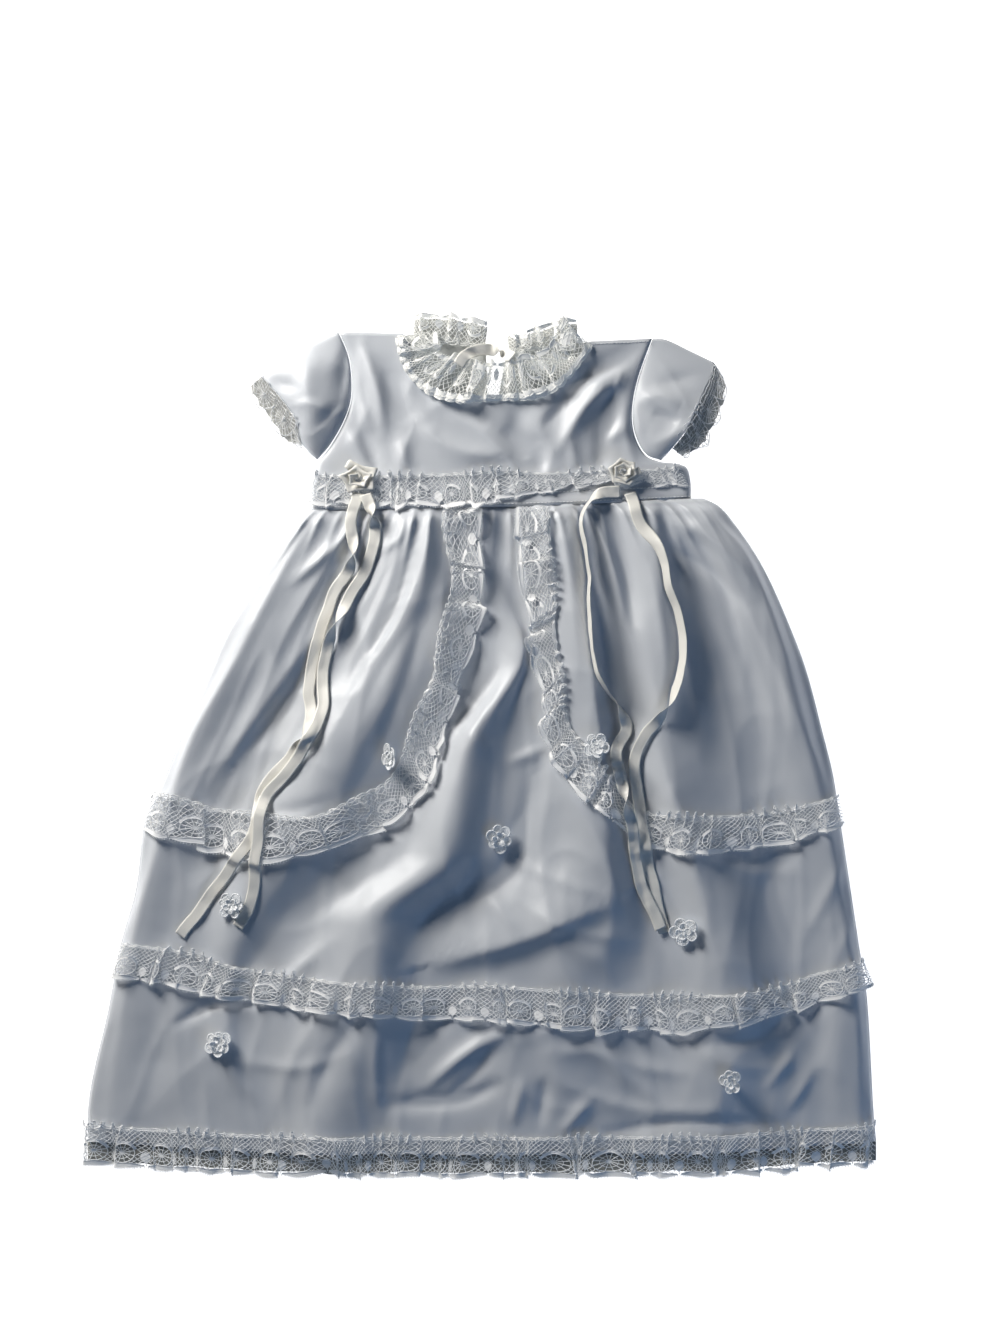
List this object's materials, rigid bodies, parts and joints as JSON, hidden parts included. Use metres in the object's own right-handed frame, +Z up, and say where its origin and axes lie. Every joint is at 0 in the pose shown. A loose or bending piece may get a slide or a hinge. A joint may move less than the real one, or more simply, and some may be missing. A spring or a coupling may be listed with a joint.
{
  "type": "christening gown",
  "caption": "Short-sleeved christening gown laid flat face up, with a long gathered skirt, gathered lace trims, ribbon roses with tails and applied flowers.",
  "frame": {"origin": "middle of the gown's outline, on the surface that it lies on", "axes": "+Z up out of the gown's face, +Y towards the neck, +X to the right as seen from above"},
  "size_m": [0.5602, 0.6138, 0.0214],
  "materials": {
    "white_satin": "white polyester satin with a soft gloss",
    "white_lace": "matt white cotton bobbin lace",
    "cream_lace": "matt cream-white cotton bobbin lace",
    "cream_ribbon": "cream satin ribbon with a soft gloss",
    "guipure": "white guipure lace"
  },
  "bodies": {
    "root": {"bodice_front": "white_satin", "bodice_back_left": "white_satin", "bodice_back_right": "white_satin", "sleeve_left": "white_satin", "sleeve_right": "white_satin", "skirt_front": "white_satin", "skirt_back": "white_satin", "cuff_lace_left": "white_lace", "cuff_lace_right": "white_lace", "waist_lace": "white_lace", "swag_lace_left": "white_lace", "swag_lace_right": "white_lace", "tier_lace": "white_lace", "hem_lace_front": "white_lace", "hem_lace_back": "white_lace", "neck_frill_front": "cream_lace", "neck_frill_back_left": "cream_lace", "neck_frill_back_right": "cream_lace", "neck_bow": "cream_ribbon", "rosette_left": "cream_ribbon", "rosette_right": "cream_ribbon", "ribbon_left_outer": "cream_ribbon", "ribbon_left_inner": "cream_ribbon", "ribbon_right_outer": "cream_ribbon", "ribbon_right_inner": "cream_ribbon", "flower_1": "guipure", "flower_2": "guipure", "flower_3": "guipure", "flower_4": "guipure", "flower_5": "guipure", "flower_6": "guipure", "flower_7": "guipure"}
  },
  "joints": []
}
